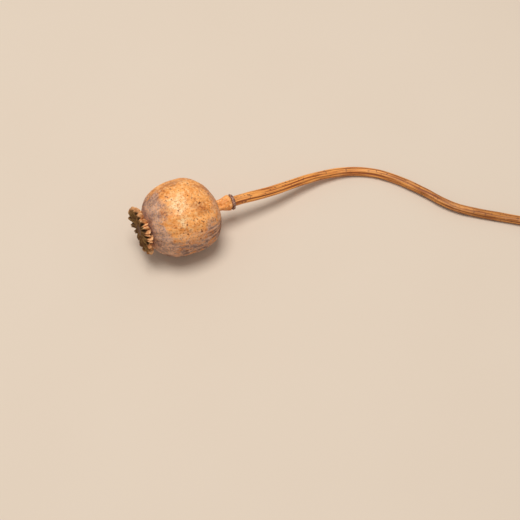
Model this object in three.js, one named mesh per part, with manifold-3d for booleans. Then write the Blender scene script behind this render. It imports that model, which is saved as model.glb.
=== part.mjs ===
// One dried poppy seed head on its cut stem, lying on its side as it comes to rest on a table.
// Millimetres, +Z up. The origin is on the small flat that the capsule lies on, straight below its
// middle, and the stem runs towards +X. Three pieces: the capsule with its short neck, the crown of
// stigma rays on top of it, and the stem, whose swollen ring the neck stands on.
import * as THREE from "three";
import { mergeVertices } from "three/addons/utils/BufferGeometryUtils.js";
import Module from "manifold-3d";

const wasm = await Module();
wasm.setup();

// Driving dimensions
const CAPSULE_DIAMETER = 41.8;
const CAPSULE_TO_NECK = 20.7; // from the capsule's middle to where its wall turns into the neck
const CAPSULE_TO_CROWN = 21.7; // from the middle to where the wall would close under the crown
const CAPSULE_RIBS = 18; // one low rib on the wall for each ray of the crown
const CROWN_DIAMETER = 27.6;
const RING_DIAMETER = 8.8;
const STEM_DIAMETER = 4.9; // along most of its length, over the flutes
const FLAT_DEPTH = 0.5; // how much of the capsule's round belly the resting flat takes off
const JOINT_GAP = 0.3; // between neighbouring pieces

// How the head lies: its axis runs from the crown to the stem, turned away from +X and dipping to the floor
const HEAD_YAW = THREE.MathUtils.degToRad(23.6);
const HEAD_DIP = THREE.MathUtils.degToRad(6.2);

const LEAN = THREE.MathUtils.degToRad(5); // the pod's foot and the crown's dish are askew by this much
const LEAN_SIDE = THREE.MathUtils.degToRad(65); // turn round the axis of the side that leans crownwards

// Heights on the head's own axis, from the capsule's middle, +Y towards the crown
const NECK_END = -29.2;
const POD_MOUTH = 6.2; // radius of the pod's end under the crown
const POD_SQUARENESS = 2.4; // 2 would be an ellipse, and more is blunter at the shoulders

const BELLY = CAPSULE_DIAMETER / 2;
const CROWN_RADIUS = CROWN_DIAMETER / 2;
const RING_RADIUS = RING_DIAMETER / 2;
const STEM_RADIUS = STEM_DIAMETER / 2;
const CAPSULE_TOP = CAPSULE_TO_CROWN * (1 - (POD_MOUTH / BELLY) ** POD_SQUARENESS) ** (1 / POD_SQUARENESS);
const CROWN_BASE = CAPSULE_TOP + JOINT_GAP;

const smoothstep = THREE.MathUtils.smoothstep;

// Turns an outline of [radius, height] points round the Y axis. The first and last points lie on the axis.
function turned(outline, segments) {
  return new THREE.LatheGeometry(outline.map(([r, y]) => new THREE.Vector2(r, y)), segments);
}

// Evenly spaced points on a smooth curve through the given [radius, height] points.
function smoothPoints(points, steps) {
  const curve = new THREE.SplineCurve(points.map(([r, y]) => new THREE.Vector2(r, y)));
  return curve.getSpacedPoints(steps).map((p) => [p.x, p.y]);
}

// Moves every vertex of a turned geometry by a rule on its radius, angle and height.
function reshape(geometry, rule) {
  const place = geometry.attributes.position;
  for (let i = 0; i < place.count; i++) {
    const radius = Math.hypot(place.getX(i), place.getZ(i));
    const angle = Math.atan2(place.getX(i), place.getZ(i));
    const [newRadius, newHeight] = rule(radius, angle, place.getY(i));
    place.setXYZ(i, newRadius * Math.sin(angle), newHeight, newRadius * Math.cos(angle));
  }
  return geometry;
}

// How far a point is carried along the axis by what is askew
function leanOf(radius, angle) {
  return Math.tan(LEAN) * radius * Math.cos(angle - LEAN_SIDE);
}

// Merges a closed geometry to positions alone and makes it a solid.
function solidOf(geometry) {
  const bare = geometry.clone().deleteAttribute("normal").deleteAttribute("uv");
  const merged = mergeVertices(bare, 1e-4);
  return new wasm.Manifold(
    new wasm.Mesh({
      numProp: 3,
      vertProperties: merged.attributes.position.array,
      triVerts: new Uint32Array(merged.index.array),
    }),
  );
}

function geometryOf(solid) {
  const mesh = solid.getMesh();
  const geometry = new THREE.BufferGeometry();
  geometry.setAttribute("position", new THREE.BufferAttribute(mesh.vertProperties, 3));
  geometry.setIndex(new THREE.BufferAttribute(mesh.triVerts, 1));
  geometry.computeVertexNormals();
  return geometry;
}

// Takes off whatever lies beyond a plane through the given point, on the side that the normal points to.
function cutBeyond(geometry, point, normal) {
  const size = 200; // more than the whole object is long on that side
  const block = new THREE.BoxGeometry(size, size, size);
  const turn = new THREE.Quaternion().setFromUnitVectors(new THREE.Vector3(0, 0, 1), normal);
  block.translate(0, 0, size / 2);
  block.applyQuaternion(turn);
  block.translate(point.x, point.y, point.z);
  return geometryOf(solidOf(geometry).subtract(solidOf(block)));
}

// The head's own frame: +Y is its axis from stem to crown
const toStem = new THREE.Vector3(
  Math.cos(HEAD_DIP) * Math.cos(HEAD_YAW),
  Math.cos(HEAD_DIP) * Math.sin(HEAD_YAW),
  -Math.sin(HEAD_DIP),
);
const head = new THREE.Group();
head.position.set(0, 0, BELLY - FLAT_DEPTH);
head.quaternion.setFromUnitVectors(new THREE.Vector3(0, 1, 0), toStem.clone().negate());
head.updateMatrix();

// Capsule: a round, blunt-shouldered pod with low ribs, on a waisted neck that flares to meet the ring
const NECK_OUTLINE = [
  [RING_RADIUS - 0.6, NECK_END],
  [RING_RADIUS - 0.2, NECK_END + 0.8],
  [3.6, -26.0],
  [2.8, -23.0],
  [3.2, -21.3],
  [4.6, -20.6],
];
const POD_FOOT = 6.1; // radius where the neck's hollow curve runs into the pod
const NECK_STEPS = 9;
const POD_STEPS = 24;
const CAPSULE_SEGMENTS = CAPSULE_RIBS * 4;

// Forms on the wall. A pair of heights or radii is where a form starts and where it is full.
const RIB_HEIGHT = 0.28;
const RIB_SHARE_AT_BELLY = 0.6; // the ribs are lower round the belly than near the ends
const RIB_SWELLS = [4, 18];
const WALL_BEGINS = [-18, -11];
const WALL_BEGINS_RADIUS = [7.6, 12];
const NECK_FLUTES = 6;
const NECK_FLUTE_HEIGHT = 0.22;
const NECK_FADES = [-21, -18];
const TWO_SIDED = 0.28; // how far the wall dried out of round as an oval
const TWO_SIDED_TURN = 0.6;
const THREE_SIDED = 0.2; // and towards a triangle, which turns along the pod
const THREE_SIDED_TURN_PER_MM = 0.12;
const FOOT_LEANS = [-23, -19];
const LEAN_FADES = [-14, 12];

// The pod's wall from the neck round the belly to the mouth, with its points spread evenly round it
function podOutline() {
  const outline = [];
  const power = 2 / POD_SQUARENESS;
  const foot = -Math.acos((POD_FOOT / BELLY) ** (1 / power));
  const mouth = Math.acos((POD_MOUTH / BELLY) ** (1 / power));
  for (let i = 0; i <= POD_STEPS; i++) {
    const turn = foot + ((mouth - foot) * i) / POD_STEPS;
    const reach = turn < 0 ? -CAPSULE_TO_NECK : CAPSULE_TO_CROWN;
    outline.push([BELLY * Math.cos(turn) ** power, reach * Math.abs(Math.sin(turn)) ** power]);
  }
  return outline;
}

function capsuleGeometry() {
  const pod = podOutline();
  const neck = smoothPoints([...NECK_OUTLINE, pod[0]], NECK_STEPS).slice(0, -1);
  const outline = [[0, NECK_END], ...neck, ...pod, [0, CAPSULE_TOP]];
  const dried = reshape(turned(outline, CAPSULE_SEGMENTS), (radius, angle, height) => {
    const onWall = smoothstep(height, ...WALL_BEGINS) * smoothstep(radius, ...WALL_BEGINS_RADIUS);
    const onNeck = (1 - smoothstep(height, ...NECK_FADES)) * smoothstep(radius, 0, 2);
    const swell = THREE.MathUtils.lerp(RIB_SHARE_AT_BELLY, 1, smoothstep(Math.abs(height), ...RIB_SWELLS));
    const ribs = RIB_HEIGHT * Math.cos(CAPSULE_RIBS * angle) * swell;
    const oval = TWO_SIDED * Math.sin(2 * angle + TWO_SIDED_TURN);
    const triangle = THREE_SIDED * Math.sin(3 * angle + THREE_SIDED_TURN_PER_MM * height);
    const flutes = NECK_FLUTE_HEIGHT * Math.cos(NECK_FLUTES * angle) * onNeck;
    const leaning = smoothstep(height, ...FOOT_LEANS) * (1 - smoothstep(height, ...LEAN_FADES));
    return [radius + (ribs + oval + triangle) * onWall + flutes, height + leanOf(radius, angle) * leaning];
  });
  const floorPoint = head.worldToLocal(new THREE.Vector3(0, 0, 0));
  const floorNormal = new THREE.Vector3(0, 0, -1).applyQuaternion(head.quaternion.clone().invert());
  return cutBeyond(dried, floorPoint, floorNormal);
}

// Crown: the dried stigma, a shallow dish on a short foot. It is pleated into one lobe for each rib of the
// capsule, with a raised ray down the middle of each lobe, and its upper lobes curl back to the capsule.
const CROWN_OUTLINE = [
  [0, CROWN_BASE],
  [6.4, CROWN_BASE],
  [7.5, CROWN_BASE + 0.7],
  [10.4, CROWN_BASE + 1.7],
  [CROWN_RADIUS - 0.7, CROWN_BASE + 2.2],
  [CROWN_RADIUS, CROWN_BASE + 2.7],
  [CROWN_RADIUS - 0.5, CROWN_BASE + 3.2],
  [11.8, CROWN_BASE + 3.3],
  [9.2, CROWN_BASE + 3.3],
  [6.2, CROWN_BASE + 3.2],
  [3.2, CROWN_BASE + 3.1],
  [1.2, CROWN_BASE + 2.9],
  [0, CROWN_BASE + 2.8],
];
const TOP_FACE = CROWN_BASE + 2.75; // what is higher is the dish's top face
const LOBE_SEGMENTS = 8;
const LOBE_ROOT = 8.5; // radius where the notches between the lobes start
const NOTCH_DEPTH = 3.2;
const LOBE_SQUARENESS = 0.6; // below 1 the lobes are broad and the notches between them narrow
const CLEFT_DEPTH = 1.2; // of the small cleft in the middle of each lobe's tip
const CLEFT_HALF_WIDTH = 0.125; // as a share of the spacing of the lobes
const CLEFT_BEGINS = 11;
const PLEAT_HEIGHT = 0.5;
const PLEATS_BEGIN = [7.5, 12];
const RAY_HEIGHT = 0.8;
const RAY_HALF_WIDTH = 0.95;
const RAYS_BEGIN = [1, 4];
const TIP_CURL = 1.5;
const CURL_BEGINS = 10;
const UPPER_SIDE = THREE.MathUtils.degToRad(-8); // turn round the axis of the lobes that lie uppermost
const CROWN_LEANS = [6.4, 11];

function crownGeometry() {
  const disc = turned(CROWN_OUTLINE, CAPSULE_RIBS * LOBE_SEGMENTS);
  return reshape(disc, (radius, angle, height) => {
    const turnShare = (angle * CAPSULE_RIBS) / (2 * Math.PI);
    const fromRay = Math.abs(turnShare - Math.round(turnShare)); // 0 on a ray, 0.5 in a notch
    const lobe = Math.cos(Math.PI * fromRay) ** LOBE_SQUARENESS;
    const notch = NOTCH_DEPTH * (1 - lobe) * smoothstep(radius, LOBE_ROOT, CROWN_RADIUS);
    const inCleft = Math.max(0, 1 - fromRay / CLEFT_HALF_WIDTH);
    const cleft = CLEFT_DEPTH * inCleft * smoothstep(radius, CLEFT_BEGINS, CROWN_RADIUS);
    const fromRayLine = (fromRay * 2 * Math.PI * radius) / CAPSULE_RIBS;
    const onTop = height > TOP_FACE ? smoothstep(radius, ...RAYS_BEGIN) : 0;
    const ray = RAY_HEIGHT * Math.max(0, 1 - (fromRayLine / RAY_HALF_WIDTH) ** 2) * onTop;
    const pleat = PLEAT_HEIGHT * Math.cos(2 * Math.PI * fromRay) * smoothstep(radius, ...PLEATS_BEGIN);
    const upper = 0.5 + 0.5 * Math.cos(angle - UPPER_SIDE);
    const curl = TIP_CURL * upper * smoothstep(radius, CURL_BEGINS, CROWN_RADIUS);
    const lean = leanOf(radius, angle) * smoothstep(radius, ...CROWN_LEANS);
    return [radius - notch - cleft, height + ray + pleat - curl + lean];
  });
}

// Stem: a long, faintly fluted rod that starts in the swollen ring where petals and stamens fell off.
// Its centre line leaves the head along the head's axis, sinks to the floor at the outside of its bend
// and lies along the floor to the cut end.
const STEM_ROUTE = [
  [41.5, 18.0, 14.8],
  [51.0, 22.5, 12.6],
  [60.5, 28.0, 10.1],
  [70.0, 33.5, 7.7],
  [80.0, 38.0, 5.4],
  [90.0, 41.2, 3.6],
  [101.0, 42.4, 2.5],
  [111.0, 41.2, 2.4],
  [120.5, 37.8, 2.5],
  [129.5, 33.2, 2.8],
  [139.0, 27.5, 3.0],
  [148.0, 21.4, 3.1],
  [157.0, 16.9, 3.0],
  [169.0, 13.7, 2.6],
  [181.0, 11.2, 2.4],
  [205.0, 6.2, 2.4],
];
const STRAIGHT_START = 5; // the stem leaves the head along the head's axis for about this far
const STEM_STEPS = 64;
const STEM_SEGMENTS = 16;
const STEM_FLUTES = 8;
const STEM_FLUTE_HEIGHT = 0.1;
const RING_STOPS = [0.4, 1.2, 1.4, 1.6, 1.8, 2.0, 3.0, 4.0]; // distances from the top face, round the ring
const RING_FALLS = [1.2, 2.0]; // where the ring's swelling drops to the stem
const RING_BEVEL = 0.5;
const THICKENING = 0.45; // the stem is thicker by this just under the ring
const THICKENING_FADES = [2, 70];
const BEND_FRAMES = 400;
const CUT_SLANT = THREE.MathUtils.degToRad(28);
const CUT_BACK = 0.5;

// Radius of the stem at a distance from its top face
function stemRadius(distance) {
  const thickening = THICKENING * (1 - smoothstep(distance, ...THICKENING_FADES));
  const onRing = 1 - smoothstep(distance, ...RING_FALLS);
  return THREE.MathUtils.lerp(STEM_RADIUS - STEM_FLUTE_HEIGHT + thickening, RING_RADIUS, onRing);
}

function stemGeometry() {
  const start = head.localToWorld(new THREE.Vector3(0, NECK_END - JOINT_GAP, 0));
  const leaving = start.clone().addScaledVector(toStem, STRAIGHT_START);
  const stops = [start, leaving, ...STEM_ROUTE.map((p) => new THREE.Vector3(...p))];
  const route = new THREE.CatmullRomCurve3(stops, false, "centripetal");
  route.arcLengthDivisions = 1000;
  const length = route.getLength();
  const ringEnd = RING_STOPS.at(-1);
  const outline = [[0, 0], [RING_RADIUS - RING_BEVEL, 0]];
  for (const stop of RING_STOPS) outline.push([stemRadius(stop), stop]);
  for (let i = 1; i <= STEM_STEPS; i++) {
    const distance = THREE.MathUtils.lerp(ringEnd, length, i / STEM_STEPS);
    outline.push([stemRadius(distance), distance]);
  }
  outline.push([0, length]);
  const rod = reshape(turned(outline, STEM_SEGMENTS), (radius, angle, distance) => {
    const flute = STEM_FLUTE_HEIGHT * Math.cos(STEM_FLUTES * angle) * smoothstep(radius, 0, 2);
    return [radius + flute, distance];
  });
  return bentAlong(rod, route, length);
}

// Carries a rod that was turned about Y onto a curve, with no twist about the curve. What would sink
// under the floor is flattened against it.
function bentAlong(rod, route, length) {
  const tangents = [];
  const sides = [];
  let side = new THREE.Vector3(0, 0, 1);
  for (let i = 0; i <= BEND_FRAMES; i++) {
    const tangent = route.getTangentAt(i / BEND_FRAMES);
    side = side.clone().addScaledVector(tangent, -side.dot(tangent)).normalize();
    tangents.push(tangent);
    sides.push(side);
  }
  const place = rod.attributes.position;
  for (let i = 0; i < place.count; i++) {
    const share = THREE.MathUtils.clamp(place.getY(i) / length, 0, 1);
    const frame = Math.round(share * BEND_FRAMES);
    const across = tangents[frame].clone().cross(sides[frame]);
    const point = route.getPointAt(share);
    point.addScaledVector(sides[frame], place.getZ(i)).addScaledVector(across, place.getX(i));
    place.setXYZ(i, point.x, point.y, Math.max(0, point.z));
  }
  return rod;
}

function slantCutStem() {
  const end = new THREE.Vector3(...STEM_ROUTE.at(-1));
  const along = end.clone().sub(new THREE.Vector3(...STEM_ROUTE.at(-2))).normalize();
  const normal = along.clone().applyAxisAngle(new THREE.Vector3(0, 0, 1), CUT_SLANT);
  const point = end.clone().addScaledVector(along, -STEM_RADIUS * Math.tan(CUT_SLANT) - CUT_BACK);
  return cutBeyond(stemGeometry(), point, normal);
}

function piece(name, geometry, colour, roughness) {
  const material = new THREE.MeshStandardMaterial({ color: colour, roughness, metalness: 0 });
  const mesh = new THREE.Mesh(geometry, material);
  mesh.name = name;
  return mesh;
}

const poppy = new THREE.Group();
head.add(piece("capsule", capsuleGeometry(), 0xd9924f, 0.62));
head.add(piece("crown", crownGeometry(), 0x6b4c2e, 0.85));
poppy.add(head);
poppy.add(piece("stem", slantCutStem(), 0xc98442, 0.7));

export default poppy;
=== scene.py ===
# One dried poppy seed head on its cut stem, lying on a pale table under soft light from overhead.
# It follows the head as it grew: the capsule with its neck, the crown of stigma rays on top of it,
# and the stem with the ring that the petals fell from. Lengths are millimetres until a mesh is placed.
import math
import random

import bmesh
import bpy
from mathutils import Matrix, Vector, geometry, kdtree, noise


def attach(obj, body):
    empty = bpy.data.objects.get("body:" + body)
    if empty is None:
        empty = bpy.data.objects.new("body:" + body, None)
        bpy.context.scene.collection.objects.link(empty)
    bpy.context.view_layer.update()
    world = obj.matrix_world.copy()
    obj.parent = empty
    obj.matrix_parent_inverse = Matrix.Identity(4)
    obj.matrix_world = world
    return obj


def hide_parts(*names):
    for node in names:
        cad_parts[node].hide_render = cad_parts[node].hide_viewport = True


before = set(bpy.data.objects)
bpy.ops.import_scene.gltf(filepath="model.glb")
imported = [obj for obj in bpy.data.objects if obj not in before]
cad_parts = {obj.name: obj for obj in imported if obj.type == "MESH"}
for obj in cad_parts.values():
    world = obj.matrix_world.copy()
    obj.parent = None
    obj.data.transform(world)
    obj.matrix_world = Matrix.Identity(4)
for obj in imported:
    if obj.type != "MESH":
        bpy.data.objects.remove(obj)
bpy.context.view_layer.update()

# View and light
# The photograph looks down on the table at 60 degrees, with the capsule left of its middle. A big soft
# box hangs almost straight above, and a dim warm sky fills in the shadows.
MM = 0.001
PHOTO_SIDE = 520
PHOTO_CAPSULE = (181.5, 217.0)
PHOTO_SCALE = 0.5526 * MM
LENS = 85
SENSOR = 36
LOOK_DOWN = math.radians(60)
CAPSULE_MIDDLE = Vector((0, 0, 0.0204))
LAMP_WIDTH = 0.75
LAMP_POWER = 15.8
LAMP_COLOUR = (1.0, 0.985, 0.965)
LAMP_PLACE = Vector((-0.08, 0.05, 1.45))
SKY_COLOUR = "#fffaf4"
SKY_STRENGTH = 0.4


# Colours are written as they look on a screen, and the shader wants them linear.
def linear(colour):
    parts = [int(colour[i : i + 2], 16) / 255 for i in (1, 3, 5)]
    return [p / 12.92 if p <= 0.04045 else ((p + 0.055) / 1.055) ** 2.4 for p in parts] + [1.0]


view_line = Vector((0, math.cos(LOOK_DOWN), -math.sin(LOOK_DOWN)))
view_up = Vector((0, math.sin(LOOK_DOWN), math.cos(LOOK_DOWN)))
middle_right = (PHOTO_SIDE / 2 - PHOTO_CAPSULE[0]) * PHOTO_SCALE
middle_down = (PHOTO_SIDE / 2 - PHOTO_CAPSULE[1]) * PHOTO_SCALE
aim = CAPSULE_MIDDLE + Vector((middle_right, 0, 0)) - view_up * middle_down
camera = bpy.data.objects.new("camera", bpy.data.cameras.new("camera"))
camera.data.lens = LENS
camera.data.sensor_width = SENSOR
camera.location = aim - view_line * (LENS / SENSOR * PHOTO_SIDE * PHOTO_SCALE)
camera.rotation_euler = (math.pi / 2 - LOOK_DOWN, 0, 0)
bpy.context.collection.objects.link(camera)
bpy.context.scene.camera = camera
bpy.context.scene.view_settings.view_transform = "Standard"

soft_box = bpy.data.objects.new("soft_box", bpy.data.lights.new("soft_box", "AREA"))
soft_box.data.shape = "DISK"
soft_box.data.size = LAMP_WIDTH
soft_box.data.energy = LAMP_POWER
soft_box.data.color = LAMP_COLOUR
soft_box.location = LAMP_PLACE
soft_box.rotation_euler = (aim - LAMP_PLACE).to_track_quat("-Z", "Y").to_euler()
bpy.context.collection.objects.link(soft_box)

sky = bpy.data.worlds.new("sky")
sky.use_nodes = True
sky.node_tree.nodes["Background"].inputs["Color"].default_value = linear(SKY_COLOUR)
sky.node_tree.nodes["Background"].inputs["Strength"].default_value = SKY_STRENGTH
bpy.context.scene.world = sky


# Table
# The head lies on a smooth board, rolled with a warm off-white paint that dried dead matt. The paint is
# a little uneven in tone, and the board runs far past the picture on every side.
TABLE_REACH = 6.0
TABLE_SQUARES = 8
TABLE_PAINT = "#dccdbc"
TABLE_PAINT_WORN = "#d9c9b7"
PAINT_CLOUD = 111.1


# Adds a node. Its sockets, by name or number, take plain values, a screen colour, another node's output,
# or another node, which stands for the first of its outputs that is in use.
def add(tree, kind, sockets=None, **settings):
    made = tree.nodes.new("ShaderNode" + kind)
    for name, value in settings.items():
        setattr(made, name, value)
    for socket, value in (sockets or {}).items():
        if isinstance(value, bpy.types.Node):
            value = next(output for output in value.outputs if output.enabled)
        if isinstance(value, bpy.types.NodeSocket):
            tree.links.new(value, made.inputs[socket])
        else:
            made.inputs[socket].default_value = linear(value) if isinstance(value, str) else value
    return made


def new_material(name):
    material = bpy.data.materials.new(name)
    material.use_nodes = True
    material.node_tree.nodes.clear()
    return material


# Matt wall paint scatters light so evenly that the board shows no highlight, only slow drifts of tone.
def painted_board():
    material = new_material("matt_painted_board")
    tree = material.node_tree
    place = add(tree, "TexCoord").outputs["Object"]
    clouds = add(tree, "TexNoise", {"Vector": place, "Scale": 1 / (PAINT_CLOUD * MM), "Detail": 3.0})
    paint = add(tree, "Mix", {0: clouds, 6: TABLE_PAINT, 7: TABLE_PAINT_WORN}, data_type="RGBA")
    sockets = {"Base Color": paint, "Roughness": 0.9, "Specular IOR Level": 0.2}
    add(tree, "OutputMaterial", {"Surface": add(tree, "BsdfPrincipled", sockets)})
    return material


bm = bmesh.new()
bmesh.ops.create_grid(bm, x_segments=TABLE_SQUARES, y_segments=TABLE_SQUARES, size=TABLE_REACH)
table_mesh = bpy.data.meshes.new("table")
bm.to_mesh(table_mesh)
bm.free()
table_mesh.materials.append(painted_board())
table = bpy.data.objects.new("table", table_mesh)
bpy.context.collection.objects.link(table)


# Capsule
# The pod is a papery, woody shell that dried to a blotched tan under a grey waxy bloom. Partitions inside
# it show as low ribs, its wall drew into fine creases as it shrank, and its neck is grown in one with it.
HEAD_YAW = math.radians(23.6)
HEAD_DIP = math.radians(6.2)
LEAN = math.radians(5)
LEAN_SIDE = math.radians(65)
BELLY = 20.9
FLAT_DEPTH = 0.5
CAPSULE_TO_NECK = 20.7
CAPSULE_TO_CROWN = 21.7
POD_SQUARENESS = 2.4
POD_FOOT = 6.1
POD_MOUTH = 6.2
RING_RADIUS = 4.4
NECK_END = -29.2
NECK_OUTLINE = [
    (RING_RADIUS - 0.6, NECK_END),
    (RING_RADIUS - 0.2, NECK_END + 0.8),
    (3.6, -26.0),
    (2.8, -23.0),
    (3.2, -21.3),
    (4.6, -20.6),
]
POD_STEPS = 170
NECK_STEPS = 34
RIBS = 18
POD_SEGMENTS = RIBS * 22

# Forms of the wall. A pair of heights or radii is where a form starts and where it is full, or where it
# begins to fade and where it is gone.
RIB_HEIGHT = 0.26
RIB_SHARE_AT_BELLY = 0.6
RIB_SWELLS = (4, 18)
WALL_BEGINS = (-18, -11)
WALL_BEGINS_RADIUS = (7.6, 12)
NECK_FADES = (-21, -18)
NECK_BEGINS_RADIUS = (0, 2)
NECK_FLUTES = 6
NECK_FLUTE_HEIGHT = 0.22
TWO_SIDED = 0.28
TWO_SIDED_TURN = 0.6
THREE_SIDED = 0.2
THREE_SIDED_TURN_PER_MM = 0.12
FOOT_LEANS = (-23, -19)
LEAN_FADES = (-14, 12)

# Streaks in the wall: how far each set stands out, how fine it is round the axis, its length along the
# axis, and a turn that keeps it apart from the others. The wall's creases have a depth of their own too.
NECK_UNEVENNESS = [(0.5, 1.6, 9, 0)]
NECK_WRINKLES = [(0.16, 5, 7, 0)]
WALL_CREASES = [(1.0, 17, 16, 0), (0.5, 34, 9, 1)]
BROAD_CREASES = [(0.1, 6, 22, 2)]
CREASE_DEPTH = 0.06
CREASE_DEPTH_UNDERNEATH = 0.22
PEBBLE_HEIGHT = 0.1
PEBBLE_HEIGHT_ON_NECK = 0.05
PEBBLES_PER_MM = 0.75
FINE_PEBBLES_PER_MM = 1.7
FINE_PEBBLE_SHARE = 0.6
DENT_DEPTH = 0.3
DENTS_PER_MM = 0.12
DENT_SHIFT = Vector((5, 1, 7))
SKIN_BEGINS = (-21.5, -18)
# Painted shade in the creases: how much the wall is darkened for each mm that its relief sinks
CREASE_SHADE_PER_MM = 2.2

PITS = 50
PIT_HEIGHTS = (-17, 17)
PIT_SMALLEST = 0.3
PIT_LARGEST = 1.0
PIT_DEPTH = 0.16
PIT_DEPTH_SPREAD = (0.5, 1.3)
PIT_REACH = 1.6
PIT_LIP_SHARE = 0.25
PIT_LIP_WIDTH = 0.3
PIT_STAIN = (0.25, 0.95)

# Bloom, the grey wax. Its edges wander by a share of a ragged noise. Sides are turns round the axis.
BLOOM_BEGINS = (-22, -18)
RAGGED_PER_MM = 0.16
RAGGED_SMOOTHNESS = 0.7
RAGGED_FINER = 2.1
RAGGED_OCTAVES = 5
BLOOM_RING = (9.0, 18.5)
BLOOM_RING_RAGGED = 4
UNDERSIDE = math.radians(-132)
UNDERSIDE_HALF_WIDTH = math.radians(74)
UNDERSIDE_FADES = (UNDERSIDE_HALF_WIDTH - 0.5, UNDERSIDE_HALF_WIDTH + 0.42)
UNDERSIDE_RAGGED = 0.22
UNDERSIDE_WIDENS = 0.2
UNDERSIDE_WIDENS_BELOW = (4, 13)
FILM_SIDE = math.radians(85)
FILM_SHARE = 0.55
FILM_REACH = 0.55
FILM_FALL = 0.9
FILM_EDGE = (0, 0.9)
FILM_FADES = (-1, 7)
SHOULDER_SHARE = 0.5
SHOULDER_RAGGED = 2
SHOULDER_BELOW = (11.5, 17)
CREASES_FADE = (7, 14)

# Patches on the wall: the turn round the axis, the height and the size of each
# The pale worn patches on the top, where the overhead light falls, are also a painted highlight.
WORN_AND_HIGHLIGHT_PATCHES = [
    (math.radians(0), 5.0, 7.5),
    (math.radians(-24), 4.5, 4.6),
    (math.radians(150), -4.0, 8.0),
]
SPECKED_PATCHES = [
    (math.radians(-44), -1.0, 12.0),
    (math.radians(-62), 6.0, 9.0),
    (math.radians(-10), -9.0, 8.0),
    (math.radians(20), 10.0, 6.0),
    (math.radians(100), 2.0, 9.0),
    (math.radians(170), 7.0, 10.0),
]
PATCH_RAGGED = 0.7
PATCH_RAGGED_PER_MM = 0.3
PATCH_EDGE = (0.0, 1.3)

# Sizes of the patterns in the skin. The finest is drawn coarser than the real one.
CLOUD_SIZE = 7.3
WAX_CLOUD_SIZE = 4.0
MOTTLE_SIZE = 1.8
SPECK_SIZE = 1.5
GRIT_SIZE = 0.8
SKIN_GRAIN = 0.55
SKIN_GRAIN_DEPTH = 0.18
STREAK_WIDTH = 1.548
STREAK_LENGTH = 4.0

# What the wall's material reads at each point of the skin, besides the run of its grain
POD_VALUES = ("bloom", "stain", "hollow", "worn_and_highlight", "specked", "creases")

crownwards = Vector((
    -math.cos(HEAD_DIP) * math.cos(HEAD_YAW),
    -math.cos(HEAD_DIP) * math.sin(HEAD_YAW),
    math.sin(HEAD_DIP),
))
head_turn = Vector((0, 1, 0)).rotation_difference(crownwards).to_matrix().to_4x4()
head_place = Matrix.Translation((0, 0, BELLY - FLAT_DEPTH)) @ head_turn


def smoothstep(value, low, high):
    share = min(1.0, max(0.0, (value - low) / (high - low)))
    return share * share * (3 - 2 * share)


# A bell curve of a distance given in widths
def bell(widths):
    return math.exp(-(widths**2))


# A smooth line through the stops, as a centripetal Catmull-Rom spline draws it.
def smooth_path(stops, per_span=24):
    stops = [Vector(stop).to_3d() for stop in stops]
    ends = [stops[0] * 2 - stops[1], *stops, stops[-1] * 2 - stops[-2]]
    path = [stops[0]]
    for before, start, end, after in zip(ends, ends[1:], ends[2:], ends[3:]):
        gap_in = math.sqrt((start - before).length)
        gap = math.sqrt((end - start).length)
        gap_out = math.sqrt((after - end).length)
        step = (end - start) / gap
        leaving = (start - before) / gap_in - (end - before) / (gap_in + gap) + step
        arriving = step - (after - start) / (gap + gap_out) + (after - end) / gap_out
        handles = (start + leaving * gap / 3, end - arriving * gap / 3)
        path += geometry.interpolate_bezier(start, *handles, end, per_span + 1)[1:]
    return path


def path_length(path):
    return sum((b - a).length for a, b in zip(path, path[1:]))


# Points spread evenly along a path
def spread(path, steps):
    whole = path_length(path)
    points = [path[0]]
    done = 0.0
    for start, end in zip(path, path[1:]):
        span = (end - start).length
        while len(points) <= steps and len(points) * whole / steps <= done + span + 1e-6:
            share = (len(points) * whole / steps - done) / span
            points.append(start.lerp(end, min(1.0, share)))
        done += span
    return points


# Spins an outline of (radius, height) points round the Y axis into a closed skin.
def spun(outline, segments):
    bm = bmesh.new()
    chain = [bm.verts.new((0, height, radius)) for radius, height in outline]
    edges = [bm.edges.new(pair) for pair in zip(chain, chain[1:])]
    bmesh.ops.spin(
        bm,
        geom=chain + edges,
        axis=(0, 1, 0),
        cent=(0, 0, 0),
        angle=math.tau,
        steps=segments,
        use_merge=True,
    )
    bmesh.ops.remove_doubles(bm, verts=bm.verts, dist=1e-5)
    bmesh.ops.recalc_face_normals(bm, faces=bm.faces)
    return bm


# Places a finished skin in the frame, lets nothing sink into the table and makes an object of it.
def finish_piece(bm, name, place, material):
    bmesh.ops.transform(bm, matrix=Matrix.Scale(MM, 4) @ place, verts=bm.verts)
    for vert in bm.verts:
        vert.co.z = max(vert.co.z, 0.0)
    for face in bm.faces:
        face.smooth = True
    mesh = bpy.data.meshes.new(name)
    bm.to_mesh(mesh)
    bm.free()
    mesh.materials.append(material)
    piece = bpy.data.objects.new(name, mesh)
    bpy.context.collection.objects.link(piece)
    return piece


# A point's distance from the Y axis and its turn round it
def polar(point):
    return math.hypot(point.x, point.z), math.atan2(point.x, point.z)


# The angle between a point's turn and a side, taken the short way round
def turn_from(angle, side):
    return abs((angle - side + math.pi) % math.tau - math.pi)


# How far a point is carried along the axis by what is askew
def lean_of(radius, angle):
    return math.tan(LEAN) * radius * math.cos(angle - LEAN_SIDE)


# Relief made of streaks that run down the axis
def streaks(angle, height, sets):
    relief = 0.0
    for rise, fineness, length, turn in sets:
        across = math.sin(angle + turn) * fineness
        deep = math.cos(angle + turn) * fineness
        relief += rise * noise.noise(Vector((across, height / length, deep)))
    return relief


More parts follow.
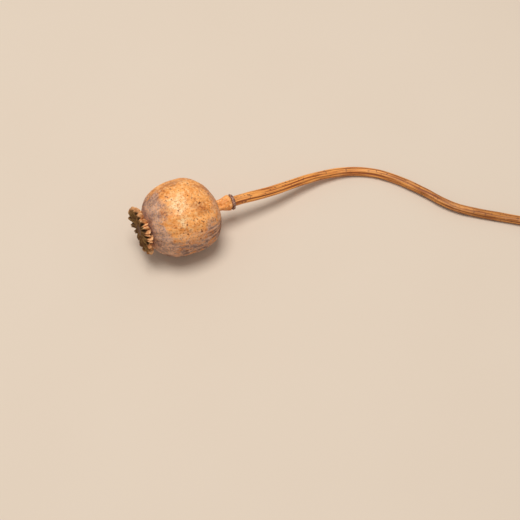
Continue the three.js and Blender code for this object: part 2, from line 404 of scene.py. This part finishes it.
# The pod's outline, from the foot of the neck round the belly to the mouth
def pod_outline():
    power = 2 / POD_SQUARENESS
    foot = -math.acos((POD_FOOT / BELLY) ** (1 / power))
    mouth = math.acos((POD_MOUTH / BELLY) ** (1 / power))
    wall = []
    for i in range(POD_STEPS + 1):
        turn = foot + (mouth - foot) * i / POD_STEPS
        reach = -CAPSULE_TO_NECK if turn < 0 else CAPSULE_TO_CROWN
        wall.append((BELLY * math.cos(turn) ** power, reach * abs(math.sin(turn)) ** power))
    neck = spread(smooth_path([*NECK_OUTLINE, wall[0]]), NECK_STEPS)
    neck = [(p.x, p.y) for p in neck[:-1]]
    return [(0.0, NECK_END), *neck, *wall, (0.0, wall[-1][1])]


# The pod's form with its ribs, its slight squash and the flutes of its neck
def form_pod(point):
    radius, angle = polar(point)
    height = point.y
    on_wall = smoothstep(height, *WALL_BEGINS) * smoothstep(radius, *WALL_BEGINS_RADIUS)
    on_neck = (1 - smoothstep(height, *NECK_FADES)) * smoothstep(radius, *NECK_BEGINS_RADIUS)
    swell = RIB_SHARE_AT_BELLY + (1 - RIB_SHARE_AT_BELLY) * smoothstep(abs(height), *RIB_SWELLS)
    ribs = RIB_HEIGHT * math.cos(RIBS * angle) * swell
    oval = TWO_SIDED * math.sin(2 * angle + TWO_SIDED_TURN)
    triangle = THREE_SIDED * math.sin(3 * angle + THREE_SIDED_TURN_PER_MM * height)
    flutes = NECK_FLUTE_HEIGHT * math.cos(NECK_FLUTES * angle) + streaks(angle, height, NECK_UNEVENNESS)
    leaning = smoothstep(height, *FOOT_LEANS) * (1 - smoothstep(height, *LEAN_FADES))
    radius += (ribs + oval + triangle) * on_wall + flutes * on_neck
    return Vector((
        radius * math.sin(angle),
        height + lean_of(radius, angle) * leaning,
        radius * math.cos(angle),
    ))


# How much wax is left: a ring round the crown and the side that faces the table, and a thinner film over
# another side and the shoulder by the neck. The second figure is how creased the waxy wall is.
def bloom_at(point):
    radius, angle = polar(point)
    height = point.y
    ragged = noise.fractal(point * RAGGED_PER_MM, RAGGED_SMOOTHNESS, RAGGED_FINER, RAGGED_OCTAVES)
    ring = smoothstep(height + BLOOM_RING_RAGGED * ragged, *BLOOM_RING)
    turn = turn_from(angle, UNDERSIDE) - UNDERSIDE_RAGGED * ragged
    turn -= UNDERSIDE_WIDENS * smoothstep(-height, *UNDERSIDE_WIDENS_BELOW)
    under = 1 - smoothstep(turn, *UNDERSIDE_FADES)
    film = smoothstep(FILM_REACH + ragged - FILM_FALL * turn_from(angle, FILM_SIDE), *FILM_EDGE)
    film *= FILM_SHARE * (1 - smoothstep(height, *FILM_FADES))
    shoulder = SHOULDER_SHARE * smoothstep(SHOULDER_RAGGED * ragged - height, *SHOULDER_BELOW)
    on_wall = smoothstep(height, *BLOOM_BEGINS)
    creases = under * (1 - smoothstep(height, *CREASES_FADE))
    return max(ring, under, film, shoulder) * on_wall, creases * on_wall


# How far a point is inside any of some soft-edged patches on the wall, from 0 to 1
def in_patches(point, patches):
    radius, angle = polar(point)
    ragged = PATCH_RAGGED * noise.noise(point * PATCH_RAGGED_PER_MM)
    share = 0.0
    for side, height, size in patches:
        away = math.hypot(turn_from(angle, side) * BELLY, point.y - height) / size
        share = max(share, 1 - smoothstep(away + ragged, *PATCH_EDGE))
    return share


# Fine relief of the dried wall: creases along the axis, a pebbled skin and slow dents
def relief_at(point, creases):
    radius, angle = polar(point)
    height = point.y
    on_pod = smoothstep(height, *SKIN_BEGINS)
    crease_depth = CREASE_DEPTH + CREASE_DEPTH_UNDERNEATH * creases
    pebbles = noise.noise(point * PEBBLES_PER_MM)
    pebbles += FINE_PEBBLE_SHARE * noise.noise(point * FINE_PEBBLES_PER_MM)
    dents = noise.noise(point * DENTS_PER_MM + DENT_SHIFT)
    pod = crease_depth * streaks(angle, height, WALL_CREASES) + streaks(angle, height, BROAD_CREASES)
    pod += PEBBLE_HEIGHT * pebbles + DENT_DEPTH * dents
    neck = streaks(angle, height, NECK_WRINKLES) + PEBBLE_HEIGHT_ON_NECK * pebbles
    return on_pod * pod + (1 - on_pod) * neck


# Small sunken scars where insects and weather marked the wall. Each goes a way into the skin, stained.
def pit_the_wall(bm, stain):
    tree = kdtree.KDTree(len(bm.verts))
    for index, vert in enumerate(bm.verts):
        tree.insert(vert.co, index)
    tree.balance()
    bm.verts.ensure_lookup_table()
    scatter = random.Random(11)
    for _ in range(PITS):
        turn = scatter.uniform(0, math.tau)
        height = scatter.uniform(*PIT_HEIGHTS)
        size = PIT_SMALLEST + (PIT_LARGEST - PIT_SMALLEST) * scatter.random() ** 3
        depth = PIT_DEPTH * size * scatter.uniform(*PIT_DEPTH_SPREAD)
        wall = BELLY * (1 - (abs(height) / CAPSULE_TO_NECK) ** POD_SQUARENESS) ** (1 / POD_SQUARENESS)
        centre = Vector((wall * math.sin(turn), height, wall * math.cos(turn)))
        nearest = bm.verts[tree.find(centre)[1]].co.copy()
        for _, index, distance in tree.find_range(nearest, size * PIT_REACH):
            vert = bm.verts[index]
            away = distance / size
            hollow = 1 - smoothstep(away, 0, 1)
            lip = PIT_LIP_SHARE * bell((away - 1) / PIT_LIP_WIDTH)
            vert.co -= vert.normal * depth * (hollow - lip)
            vert[stain] = max(vert[stain], 1 - smoothstep(away, *PIT_STAIN))


# Lays coats of colour over a base. A coat is a pattern, the pattern's value where the coat starts, the
# value where it is full, how much of what is under it it then hides, and its colour.
def coated(tree, base, coats, blend="MIX"):
    for pattern, starts, full, hides, colour in coats:
        sockets = {"Value": pattern, "From Min": starts, "From Max": full, "To Max": hides}
        cover = add(tree, "MapRange", sockets, interpolation_type="SMOOTHSTEP")
        base = add(tree, "Mix", {0: cover, 6: base, 7: colour}, data_type="RGBA", blend_type=blend)
    return base


# Dried pod wall: a papery, woody skin that dried slowly in the open. The eye gets a soft satin sheen over
# blotched and specked tan, and a dull, chalky grey where the wax is left.
def dried_pod_wall():
    material = new_material("dried_pod_wall")
    tree = material.node_tree
    place = add(tree, "TexCoord").outputs["Object"]
    grain = add(tree, "Attribute", attribute_name="grain").outputs["Vector"]
    skin = {name: add(tree, "Attribute", attribute_name=name).outputs["Fac"] for name in POD_VALUES}
    sockets = {"Vector": place, "Scale": 1 / (CLOUD_SIZE * MM), "Detail": 3.0}
    clouds = add(tree, "TexNoise", sockets)
    sockets = {"Vector": place, "Scale": 1 / (MOTTLE_SIZE * MM), "Detail": 4.0, "Roughness": 0.7}
    mottle = add(tree, "TexNoise", sockets)
    grit = add(tree, "TexNoise", {"Vector": place, "Scale": 1 / (GRIT_SIZE * MM)})

    # Orange tan, deeper in broad clouds, mottled all over and rubbed to cream in patches, which on the
    # top, where the light falls, are also a painted highlight
    cream = coated(tree, "#fdb873", [(mottle, 0.4, 0.6, 1.0, "#ffe0ac")])
    tan_coats = [
        (clouds, 0.36, 0.62, 1.0, "#fdae5e"),
        (mottle, 0.47, 0.66, 0.8, "#ffc98a"),
        (mottle, 0.46, 0.3, 0.75, "#c0682a"),
        (skin["worn_and_highlight"], 0.0, 1.0, 0.85, cream),
        (grit, 0.45, 0.32, 0.75, "#ac5b22"),
    ]
    tan = coated(tree, "#ec9645", tan_coats)

    # Grey wax, clouded and speckled. Where the wall is creased, the tan shows through it in fine streaks.
    sockets = {"Vector": place, "Scale": 1 / (WAX_CLOUD_SIZE * MM), "Detail": 4.0, "Roughness": 0.7}
    wax_clouds = add(tree, "TexNoise", sockets)
    streaked = add(tree, "TexNoise", {"Vector": grain, "Scale": 1.0, "Detail": 3.0})
    creased = add(tree, "Math", {0: skin["creases"], 1: 0.95}, operation="MULTIPLY")
    wax_coats = [
        (wax_clouds, 0.35, 0.65, 1.0, "#967c76"),
        (grit, 0.52, 0.66, 0.75, "#e6a970"),
        (grit, 0.47, 0.32, 0.75, "#745c58"),
        (streaked, 0.52, 0.58, creased, "#cf8449"),
        (streaked, 0.47, 0.4, creased, "#6c5450"),
    ]
    wax = coated(tree, "#d8ae94", wax_coats)

    # The wax lies over the tan with a mottled edge, and dark specks of mould and the pits' stains over both.
    waxed = add(tree, "Math", {0: mottle, 1: skin["bloom"]}, operation="ADD")
    speck_noise = add(tree, "TexNoise", {"Vector": place, "Scale": 1 / (SPECK_SIZE * MM), "Detail": 1.0})
    fewer = add(tree, "MapRange", {"Value": skin["specked"], "To Min": 0.04, "To Max": -0.02})
    specks = add(tree, "Math", {0: speck_noise, 1: fewer}, operation="ADD")
    skin_coats = [
        (waxed, 0.55, 1.35, 0.92, wax),
        (specks, 0.34, 0.29, 0.95, "#7a3f1c"),
        (skin["stain"], 0.1, 0.8, 0.6, "#7a4420"),
    ]
    colour = coated(tree, tan, skin_coats)
    # Painted shade: the wall is darkened in its creases and dents, where the relief sinks.
    colour = coated(tree, colour, [(skin["hollow"], 0.5, 1.0, 0.5, "#8a5026")], "MULTIPLY")

    # A real pod's skin has a grain of about 0.2 mm. It is drawn nearly three times coarser, to show at all.
    sockets = {"Vector": place, "Scale": 1 / (SKIN_GRAIN * MM), "Detail": 3.0, "Roughness": 0.6}
    fine = add(tree, "TexNoise", sockets)
    bump = add(tree, "Bump", {"Strength": 0.8, "Distance": SKIN_GRAIN_DEPTH * MM, "Height": fine})
    rough = add(tree, "MapRange", {"Value": skin["bloom"], "To Min": 0.5, "To Max": 0.68})
    sockets = {"Base Color": colour, "Roughness": rough, "IOR": 1.46, "Normal": bump}
    add(tree, "OutputMaterial", {"Surface": add(tree, "BsdfPrincipled", sockets)})
    return material


bm = spun(pod_outline(), POD_SEGMENTS)
grain_layer = bm.verts.layers.float_vector.new("grain")
layer = {name: bm.verts.layers.float.new(name) for name in POD_VALUES}
for vert in bm.verts:
    vert.co = form_pod(vert.co)
bm.normal_update()
across = BELLY / STREAK_WIDTH
for vert in bm.verts:
    radius, angle = polar(vert.co)
    bloom, creases = bloom_at(vert.co)
    relief = relief_at(vert.co, creases)
    vert[grain_layer] = (math.sin(angle) * across, vert.co.y / STREAK_LENGTH, math.cos(angle) * across)
    vert[layer["bloom"]] = bloom
    vert[layer["creases"]] = creases
    vert[layer["worn_and_highlight"]] = in_patches(vert.co, WORN_AND_HIGHLIGHT_PATCHES)
    vert[layer["specked"]] = in_patches(vert.co, SPECKED_PATCHES)
    # The hollow value is painted shade, larger where the relief sinks.
    vert[layer["hollow"]] = 0.5 - CREASE_SHADE_PER_MM * relief
    vert.co += vert.normal * relief
bm.normal_update()
pit_the_wall(bm, layer["stain"])
capsule = finish_piece(bm, "capsule_wall", head_place, dried_pod_wall())
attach(capsule, "root")
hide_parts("capsule")


# Crown
# The stigma that caught the pollen, dried hard: a shallow dish on a short foot, cut into a lobe for each
# chamber. A velvety ray, folded into a double ridge, runs out along each lobe from near the middle.
CROWN_BASE = 21.5
CROWN_RADIUS = 13.8
CROWN_OUTLINE = [
    (0, CROWN_BASE),
    (6.4, CROWN_BASE),
    (7.5, CROWN_BASE + 0.7),
    (10.4, CROWN_BASE + 1.7),
    (CROWN_RADIUS - 0.7, CROWN_BASE + 2.2),
    (CROWN_RADIUS, CROWN_BASE + 2.65),
    (CROWN_RADIUS - 0.5, CROWN_BASE + 3.1),
    (11.8, CROWN_BASE + 3.2),
    (9.2, CROWN_BASE + 3.2),
    (6.2, CROWN_BASE + 3.1),
    (3.2, CROWN_BASE + 3.0),
    (1.2, CROWN_BASE + 2.8),
    (0, CROWN_BASE + 2.7),
]
TOP_FACE = CROWN_BASE + 2.75
FACE_EDGE = 0.1
CROWN_STEPS = 110
CROWN_SEGMENTS = RIBS * 26

# The lobes. A pair of radii is where a form starts and where it is full.
LOBE_ROOT = 8.5
NOTCH_DEPTH = 3.2
LOBE_SQUARENESS = 0.6
TIP_CLEFT = 2.3
CLEFT_WIDTH = 0.09
CLEFT_BEGINS = 10.3
LONG_LOBE = 2.0
LONG_SIDE = math.radians(-112)
LONG_SIDE_WIDTH = math.radians(28)
PLEAT_HEIGHT = 0.5
PLEATS_BEGIN = (7.5, 12)
TIP_CURL = 1.5
CURL_BEGINS = 10
UPPER_SIDE = math.radians(-8)
CROWN_LEANS = (6.4, 11)
CROWN_GRIT = 0.09
GRIT_PER_MM = 1.3
FINE_GRIT_PER_MM = 3.1
FINE_GRIT_SHARE = 0.6

# The rays, each a pair of ridges with a slit between them and a furrow on either side. Near the middle
# of the crown the ridges crowd, and take no more than a share of the rays' spacing.
RAY_HEIGHT = 0.9
RAYS_BEGIN = (1.0, 3.5)
RIDGE_APART = 0.55
RIDGE_APART_SHARE = 0.24
RIDGE_WIDTH = 0.36
RIDGE_WIDTH_SHARE = 0.17
RIDGE_WANDER = 0.22
WANDERS_PER_MM = 0.5
RAY_TO_RAY = 3.7
RIDGE_LEVEL = 0.75
RIDGE_LUMPS = 0.5
LUMPS_PER_MM = 1.1
LUMPS_PER_RADIAN = 9
LUMPS_SHIFT = 4
SLIT_DEPTH = 0.35
SLIT_WIDTH = 0.2
SLITS_BEGIN = (4, 7)
FURROW_DEPTH = 0.6
FURROW_SIDE = (0.3, 0.5)
FURROWS_BEGIN = (3, 6)

# The dark face ends at the pale tips, which show furthest in on the upper side, where the light falls.
# Painted light and shade: the tips are palest on that lit side and darker on the side towards the table.
LIT_SIDE = math.radians(-19)
LIT_SIDE_REACH = 1.7
PALE_TIPS = (12.6, 13.9)
PALE_LEAST_ON_SHADED_SIDE = 0.3
HEART_RADIUS = 4.0
HEART_EDGE = 2.2
HEART_SHARE = 0.85

# Sizes of the patterns in the stigma. The velvet is drawn coarser than the real one.
VELVET_SIZE = 1.111
VELVET_DEPTH = 0.15
BLOTCH_SIZE = 3.846

# What the stigma's material reads at each point
CROWN_VALUES = ("face", "crest", "heart")

lobe_dice = random.Random(5)
LOBES = [
    {
        "length": lobe_dice.uniform(-0.5, 0.25),
        "curl": lobe_dice.uniform(-0.7, 0.7),
        "twist": lobe_dice.uniform(-0.5, 0.5),
        "shift": lobe_dice.uniform(-0.05, 0.05),
    }
    for _ in range(RIBS)
]


# How near a turn is to a side, from 1 on it to 0 straight across
def facing(angle, side):
    return 0.5 + 0.5 * math.cos(angle - side)


# Where a point lies on its lobe: the lobe's number, and the share of a lobe's width from its middle line
def lobe_at(angle):
    turn_share = angle * RIBS / math.tau
    return round(turn_share), turn_share - round(turn_share)


# How far a point of the dish is from its ray's wandering middle line, and how much it is on a ridge
def ridge_at(point):
    radius, angle = polar(point)
    number, side = lobe_at(angle)
    spacing = math.tau * radius / RIBS
    apart = min(RIDGE_APART, RIDGE_APART_SHARE * spacing)
    width = min(RIDGE_WIDTH, RIDGE_WIDTH_SHARE * spacing) + 1e-3
    wander = RIDGE_WANDER * noise.noise(Vector((radius * WANDERS_PER_MM, number * RAY_TO_RAY, 0)))
    across = abs(side * spacing + wander)
    on_top = smoothstep(radius, *RAYS_BEGIN) if point.y > TOP_FACE else 0.0
    return across, bell((across - apart) / width / math.sqrt(2)), on_top


# How far the rays raise a point of the dish, less the slits and furrows
def rays_at(point):
    radius, angle = polar(point)
    side = abs(lobe_at(angle)[1])
    across, ridge, on_top = ridge_at(point)
    lumps = noise.noise(Vector((radius * LUMPS_PER_MM, angle * LUMPS_PER_RADIAN, LUMPS_SHIFT)))
    ray = RAY_HEIGHT * ridge * (RIDGE_LEVEL + RIDGE_LUMPS * lumps)
    slit = SLIT_DEPTH * bell(across / SLIT_WIDTH) * smoothstep(radius, *SLITS_BEGIN)
    furrow = FURROW_DEPTH * smoothstep(side, *FURROW_SIDE) * smoothstep(radius, *FURROWS_BEGIN)
    return (ray - slit - furrow) * on_top


# Where a point of the smooth dish goes when it is cut into lobes, pleated, curled and bent askew
def form_crown(point):
    radius, angle = polar(point)
    number, side = lobe_at(angle)
    lobe = LOBES[number % RIBS]
    from_ray = abs(side)
    outwards = smoothstep(radius, LOBE_ROOT, CROWN_RADIUS)
    notch = NOTCH_DEPTH * (1 - math.cos(math.pi * from_ray) ** LOBE_SQUARENESS) * outwards
    cleft = TIP_CLEFT * bell(from_ray / CLEFT_WIDTH) * smoothstep(radius, CLEFT_BEGINS, CROWN_RADIUS)
    off_long_side = turn_from(number * math.tau / RIBS, LONG_SIDE) / LONG_SIDE_WIDTH
    longer = lobe["length"] + LONG_LOBE * bell(off_long_side)
    pleat = PLEAT_HEIGHT * math.cos(math.tau * from_ray) * smoothstep(radius, *PLEATS_BEGIN)
    curl = TIP_CURL * facing(angle, UPPER_SIDE) + lobe["curl"]
    curl *= smoothstep(radius, CURL_BEGINS, CROWN_RADIUS)
    lean = lean_of(radius, angle) * smoothstep(radius, *CROWN_LEANS)
    twist = lobe["twist"] * side * 2 * outwards
    new_radius = radius - notch - cleft + longer * outwards
    new_angle = angle + lobe["shift"] * outwards * (1 - 2 * from_ray)
    new_height = point.y + rays_at(point) + pleat - curl + lean + twist
    return Vector((new_radius * math.sin(new_angle), new_height, new_radius * math.cos(new_angle)))


# What the stigma's material reads at a point of the dish: how dark the face is there, how much of it is
# the crest of a ridge, and how near it is to the smooth heart
def crown_values(point):
    radius, angle = polar(point)
    # Painted light and shade: the tips are paler on the upper, lit side and darker on the side towards the
    # table.
    lit_side = facing(angle, LIT_SIDE)
    on_face = 1.0 if point.y > TOP_FACE - FACE_EDGE else 0.0
    pale = smoothstep(radius + LIT_SIDE_REACH * lit_side, *PALE_TIPS)
    pale *= PALE_LEAST_ON_SHADED_SIDE + (1 - PALE_LEAST_ON_SHADED_SIDE) * lit_side
    across, ridge, on_top = ridge_at(point)
    heart = HEART_SHARE * smoothstep(HEART_RADIUS - radius, 0, HEART_EDGE)
    return {"face": on_face * (1 - pale), "crest": ridge * on_top, "heart": heart * on_face}


# Dried stigma: velvety tissue that shrank and darkened in the sun. It swallows the light in its furrows,
# shows no highlight, and is rubbed to tan on its ridges and lobe tips, with painted light making the tips
# paler on the upper side. Its real velvet is far too fine to show, so its fibres are drawn about 1 mm apart.
def dried_stigma():
    material = new_material("dried_stigma")
    tree = material.node_tree
    place = add(tree, "TexCoord").outputs["Object"]
    skin = {name: add(tree, "Attribute", attribute_name=name).outputs["Fac"] for name in CROWN_VALUES}
    fibre = add(tree, "TexNoise", {"Vector": place, "Scale": 1 / (VELVET_SIZE * MM), "Detail": 4.0})
    blotch = add(tree, "TexNoise", {"Vector": place, "Scale": 1 / (BLOTCH_SIZE * MM), "Detail": 3.0})
    tip_coats = [(blotch, 0.35, 0.65, 1.0, "#f4b67d"), (fibre, 0.5, 0.7, 0.7, "#ffd6a2")]
    tips = coated(tree, "#bd7946", tip_coats)
    crest_tan = coated(tree, "#714b26", [(blotch, 0.4, 0.62, 1.0, "#9b7442")])
    dark_coats = [(fibre, 0.35, 0.7, 1.0, "#5a3e1e"), (skin["crest"], 0.3, 0.95, 0.85, crest_tan)]
    dark = coated(tree, "#3b2410", dark_coats)
    dark = add(tree, "Mix", {0: skin["heart"], 6: dark, 7: "#8a6a58"}, data_type="RGBA")
    colour = add(tree, "Mix", {0: skin["face"], 6: tips, 7: dark}, data_type="RGBA")
    bump = add(tree, "Bump", {"Strength": 0.5, "Distance": VELVET_DEPTH * MM, "Height": fibre})
    sockets = {"Base Color": colour, "Roughness": 0.85, "Specular IOR Level": 0.25, "Normal": bump}
    add(tree, "OutputMaterial", {"Surface": add(tree, "BsdfPrincipled", sockets)})
    return material


crown_outline = [(p.x, p.y) for p in spread(smooth_path(CROWN_OUTLINE), CROWN_STEPS)]
bm = spun([(max(r, 0.0), y) for r, y in crown_outline], CROWN_SEGMENTS)
layer = {name: bm.verts.layers.float.new(name) for name in CROWN_VALUES}
for vert in bm.verts:
    for name, value in crown_values(vert.co).items():
        vert[layer[name]] = value
    vert.co = form_crown(vert.co)
bm.normal_update()
for vert in bm.verts:
    grit = noise.noise(vert.co * GRIT_PER_MM) + FINE_GRIT_SHARE * noise.noise(vert.co * FINE_GRIT_PER_MM)
    vert.co += vert.normal * CROWN_GRIT * grit
crown = finish_piece(bm, "crown_of_rays", head_place, dried_stigma())
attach(crown, "root")
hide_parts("crown")


# Stem
# A hollow straw, ridged along its length by its fibres and dried to the same tan, browner towards the
# cut end. It starts in a swollen, rough, purplish ring, the scar of the petals and stamens.
STEM_RADIUS = 2.45
JOINT_GAP = 0.3
STRAIGHT_START = 5
STEM_ROUTE = [
    (41.5, 18.0, 14.8),
    (51.0, 22.5, 12.6),
    (60.5, 28.0, 10.1),
    (70.0, 33.5, 7.7),
    (80.0, 38.0, 5.4),
    (90.0, 41.2, 3.6),
    (101.0, 42.4, 2.5),
    (111.0, 41.2, 2.4),
    (120.5, 37.8, 2.5),
    (129.5, 33.2, 2.8),
    (139.0, 27.5, 3.0),
    (148.0, 21.4, 3.1),
    (157.0, 16.9, 3.0),
    (169.0, 13.7, 2.6),
    (181.0, 11.2, 2.4),
    (205.0, 6.2, 2.4),
]
STEM_STEP = 0.45
STEM_SEGMENTS = 72
POINTS_PER_STOP = 40
RING_FACE_SHARES = (0.3, 0.55, 0.75, 0.88)

# Forms of the stem. A pair of distances from the ring's top face, or of radii, is where a change starts
# and where it ends.
THICKENING = 0.45
THICKENING_FADES = (2, 70)
RING_FALLS = (1.2, 2.0)
LUMPS_FADE = (1.6, 2.3)
SCAR_FADES = (1.7, 2.4)
ROD_BEGINS_RADIUS = (0, 2)
STEM_FLUTES = 8
STEM_FLUTE_HEIGHT = 0.12
FLUTE_SINK = 0.1
FLUTE_SWAY = 0.6
FLUTE_SWAY_LENGTH = 31
FIBRE_RIDGES = [(0.28, 2.6, 36, 0), (0.22, 6.5, 14, 0)]
RING_LUMPS = [(0.5, 8, 1.2, 0), (0.35, 17, 0.7, 0)]
SWELLINGS = 0.12
SWELLING_LENGTH = 9
SWELLING_SHIFT = (3, 8)
# Painted shade in the flutes: how much the straw is darkened for each mm that its relief sinks
FLUTE_SHADE_PER_MM = 2.0

# The cut end: a rind, a pale pith inside it and a hollow in the middle
CUT_SLANT = math.radians(28)
CUT_BACK = 0.5
RIND_SHARE = 0.86
PITH_SHARE = 0.6
BORE_TAPER = 0.9
BORE_DEPTH = 1.6

# Sizes of the patterns in the straw, and how many times finer the fibres are that the bump shows
FIBRE_WIDTH = 0.35
FIBRE_LENGTH = 14
FINE_FIBRES = 3
FIBRE_BUMP = 0.1
SUN_PATCH_SIZE = 6.25
STRAW_SPECK_SIZE = 1.613
SCAR_GRAIN = 0.7143

# What the straw's material reads at each point, besides the run of its fibres
STEM_VALUES = ("along", "ring", "hollow", "pith")


# Radius of the stem at a distance from the ring's top face
def stem_radius(distance):
    thickening = THICKENING * (1 - smoothstep(distance, *THICKENING_FADES))
    on_ring = 1 - smoothstep(distance, *RING_FALLS)
    return (STEM_RADIUS - FLUTE_SINK + thickening) * (1 - on_ring) + RING_RADIUS * on_ring


# Fibres stand out as uneven ridges, and the ring is lumpy
def stem_relief(angle, distance):
    on_ring = 1 - smoothstep(distance, *LUMPS_FADE)
    sway = FLUTE_SWAY * math.sin(distance / FLUTE_SWAY_LENGTH)
    rod = STEM_FLUTE_HEIGHT * math.cos(STEM_FLUTES * angle + sway) + streaks(angle, distance, FIBRE_RIDGES)
    rod += SWELLINGS * noise.noise(Vector((distance / SWELLING_LENGTH, *SWELLING_SHIFT)))
    return (1 - on_ring) * rod + on_ring * streaks(angle, distance, RING_LUMPS)


# Directions square to a path's, one for each of its points, that turn with it as little as they can
def path_sides(tangents):
    side = Vector((0, 0, 1))
    sides = []
    for tangent in tangents:
        side = (side - tangent * side.dot(tangent)).normalized()
        sides.append(side)
    return sides


# Draws an end face in towards its middle and sinks it into the stem. Its new rim gets the values given
# for its layers.
def draw_in(bm, faces, share, sunk, values):
    for edge in faces[0].edges:
        edge.smooth = False
    made = bmesh.ops.extrude_face_region(bm, geom=faces)["geom"]
    bmesh.ops.delete(bm, geom=[face for face in faces if face.is_valid], context="FACES_ONLY")
    rim = [item for item in made if isinstance(item, bmesh.types.BMVert)]
    middle = sum((vert.co for vert in rim), Vector()) / len(rim)
    for vert in rim:
        vert.co = middle.lerp(vert.co, share) - sunk
        for channel, value in values.items():
            vert[channel] = value
    return [item for item in made if isinstance(item, bmesh.types.BMFace)]


# Dried straw: woody fibres under their own thin polish. Light and dark run along them in long streaks
# with a soft satin highlight, and the scar of the ring is dull and rough.
def dried_straw():
    material = new_material("dried_straw")
    tree = material.node_tree
    place = add(tree, "TexCoord").outputs["Object"]
    grain = add(tree, "Attribute", attribute_name="grain").outputs["Vector"]
    skin = {name: add(tree, "Attribute", attribute_name=name).outputs["Fac"] for name in STEM_VALUES}
    fibres = add(tree, "TexNoise", {"Vector": grain, "Scale": 1.0, "Detail": 4.0})
    sunny = add(tree, "TexNoise", {"Vector": place, "Scale": 1 / (SUN_PATCH_SIZE * MM), "Detail": 3.0})
    specks = add(tree, "TexNoise", {"Vector": place, "Scale": 1 / (STRAW_SPECK_SIZE * MM)})
    scarred = add(tree, "TexNoise", {"Vector": place, "Scale": 1 / (SCAR_GRAIN * MM), "Detail": 3.0})
    near = coated(tree, "#c06a22", [(fibres, 0.38, 0.62, 1.0, "#fbae57")])
    far = coated(tree, "#955118", [(fibres, 0.38, 0.62, 1.0, "#dc9445")])
    straw = coated(tree, near, [(skin["along"], 0.25, 0.75, 1.0, far), (sunny, 0.52, 0.78, 0.4, "#eca868")])
    # Painted shade: the straw is darkened in its flutes and at the bottom of the bore at the cut end.
    straw = coated(tree, straw, [(skin["hollow"], 0.45, 0.95, 0.85, "#93562a")], "MULTIPLY")
    straw = coated(tree, straw, [(specks, 0.6, 0.68, 0.75, "#77441f")])
    scar = coated(tree, "#5d3b30", [(scarred, 0.38, 0.62, 1.0, "#c39680")])
    straw = add(tree, "Mix", {0: skin["ring"], 6: straw, 7: scar}, data_type="RGBA")
    straw = add(tree, "Mix", {0: skin["pith"], 6: straw, 7: "#e6cfa6"}, data_type="RGBA")
    fine = add(tree, "TexNoise", {"Vector": grain, "Scale": FINE_FIBRES})
    bump = add(tree, "Bump", {"Strength": 0.4, "Distance": FIBRE_BUMP * MM, "Height": fine})
    sockets = {"Base Color": straw, "Roughness": 0.55, "Normal": bump}
    add(tree, "OutputMaterial", {"Surface": add(tree, "BsdfPrincipled", sockets)})
    return material


route_start = head_place @ Vector((0, NECK_END - JOINT_GAP, 0))
route_stops = [route_start, route_start - crownwards * STRAIGHT_START, *map(Vector, STEM_ROUTE)]
route = smooth_path(route_stops, POINTS_PER_STOP)
stem_length = path_length(route)
stem_steps = round(stem_length / STEM_STEP)
stations = spread(route, stem_steps)
last_run = (route_stops[-1] - route_stops[-2]).normalized()
cut_normal = Matrix.Rotation(CUT_SLANT, 3, "Z") @ last_run
cut_point = route_stops[-1] - last_run * (STEM_RADIUS * math.tan(CUT_SLANT) + CUT_BACK)

outline = [(0.0, 0.0)]
outline += [(RING_RADIUS * share, 0.0) for share in RING_FACE_SHARES]
outline += [(stem_radius(i * STEM_STEP), i * stem_length / stem_steps) for i in range(1, stem_steps + 1)]
outline += [(0.0, stem_length)]
bm = spun(outline, STEM_SEGMENTS)
grain_layer = bm.verts.layers.float_vector.new("grain")
layer = {name: bm.verts.layers.float.new(name) for name in STEM_VALUES}

tangents = [(b - a).normalized() for a, b in zip(stations, stations[1:])]
tangents.append(tangents[-1])
sides = path_sides(tangents)
fibres = STEM_RADIUS / FIBRE_WIDTH
for vert in bm.verts:
    radius, angle = polar(vert.co)
    distance = vert.co.y
    relief = stem_relief(angle, distance) * smoothstep(radius, *ROD_BEGINS_RADIUS)
    vert[grain_layer] = (math.sin(angle) * fibres, distance / FIBRE_LENGTH, math.cos(angle) * fibres)
    vert[layer["along"]] = distance / stem_length
    vert[layer["ring"]] = 1 - smoothstep(distance, *SCAR_FADES)
    vert[layer["hollow"]] = 0.5 - FLUTE_SHADE_PER_MM * relief
    station = min(len(stations) - 1, round(distance / stem_length * stem_steps))
    across = tangents[station].cross(sides[station])
    spoke = sides[station] * math.cos(angle) + across * math.sin(angle)
    vert.co = stations[station] + spoke * (radius + relief if radius else 0)

halves = bm.verts[:] + bm.edges[:] + bm.faces[:]
cut = bmesh.ops.bisect_plane(bm, geom=halves, plane_co=cut_point, plane_no=cut_normal, clear_outer=True)
cut_edges = [item for item in cut["geom_cut"] if isinstance(item, bmesh.types.BMEdge)]
end_face = bmesh.ops.contextual_create(bm, geom=cut_edges)["faces"]
end_face = draw_in(bm, end_face, RIND_SHARE, Vector(), {layer["pith"]: 1.0})
end_face = draw_in(bm, end_face, PITH_SHARE, Vector(), {layer["pith"]: 1.0})
# The bottom of the bore gets full painted shade.
draw_in(bm, end_face, BORE_TAPER, last_run * BORE_DEPTH, {layer["pith"]: 0.0, layer["hollow"]: 1.0})
stem = finish_piece(bm, "stem_with_ring", Matrix.Identity(4), dried_straw())
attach(stem, "root")
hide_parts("stem")
